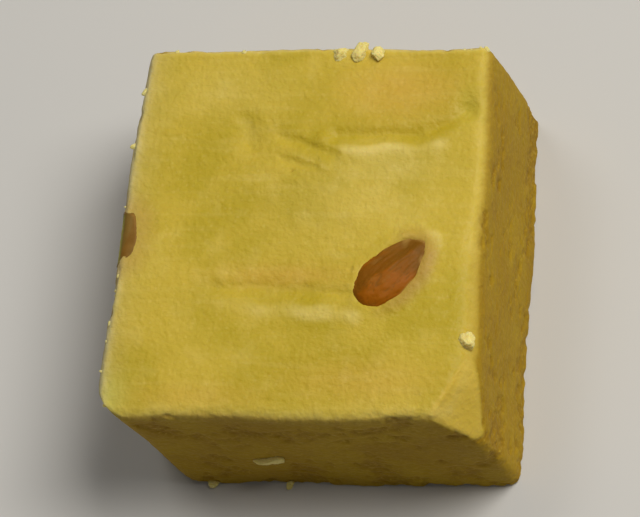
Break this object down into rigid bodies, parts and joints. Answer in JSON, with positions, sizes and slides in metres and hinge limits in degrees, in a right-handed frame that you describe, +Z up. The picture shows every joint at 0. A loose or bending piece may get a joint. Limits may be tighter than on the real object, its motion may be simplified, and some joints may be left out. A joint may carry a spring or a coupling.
{
  "type": "pistachio barfi piece",
  "caption": "Square-cut block of yellow-green milk fudge with a spread top, knife-cut sides, a pressed front corner and brown-skinned pistachio kernels set in it.",
  "frame": {"origin": "middle of the base, on the surface that the piece stands on", "axes": "+Z up, +X to the right and +Y to the back, with the pressed corner at the front right"},
  "size_m": [0.0437, 0.0452, 0.0234],
  "materials": {
    "paste": "soft, slightly waxy milk paste, smeared on top and drawn by the knife on the sides",
    "kernel": "thin wrinkled brown skin over green flesh"
  },
  "bodies": {
    "root": {"barfi_block": "paste", "pistachio_top": "kernel", "pistachio_left_edge": "kernel"}
  },
  "joints": []
}
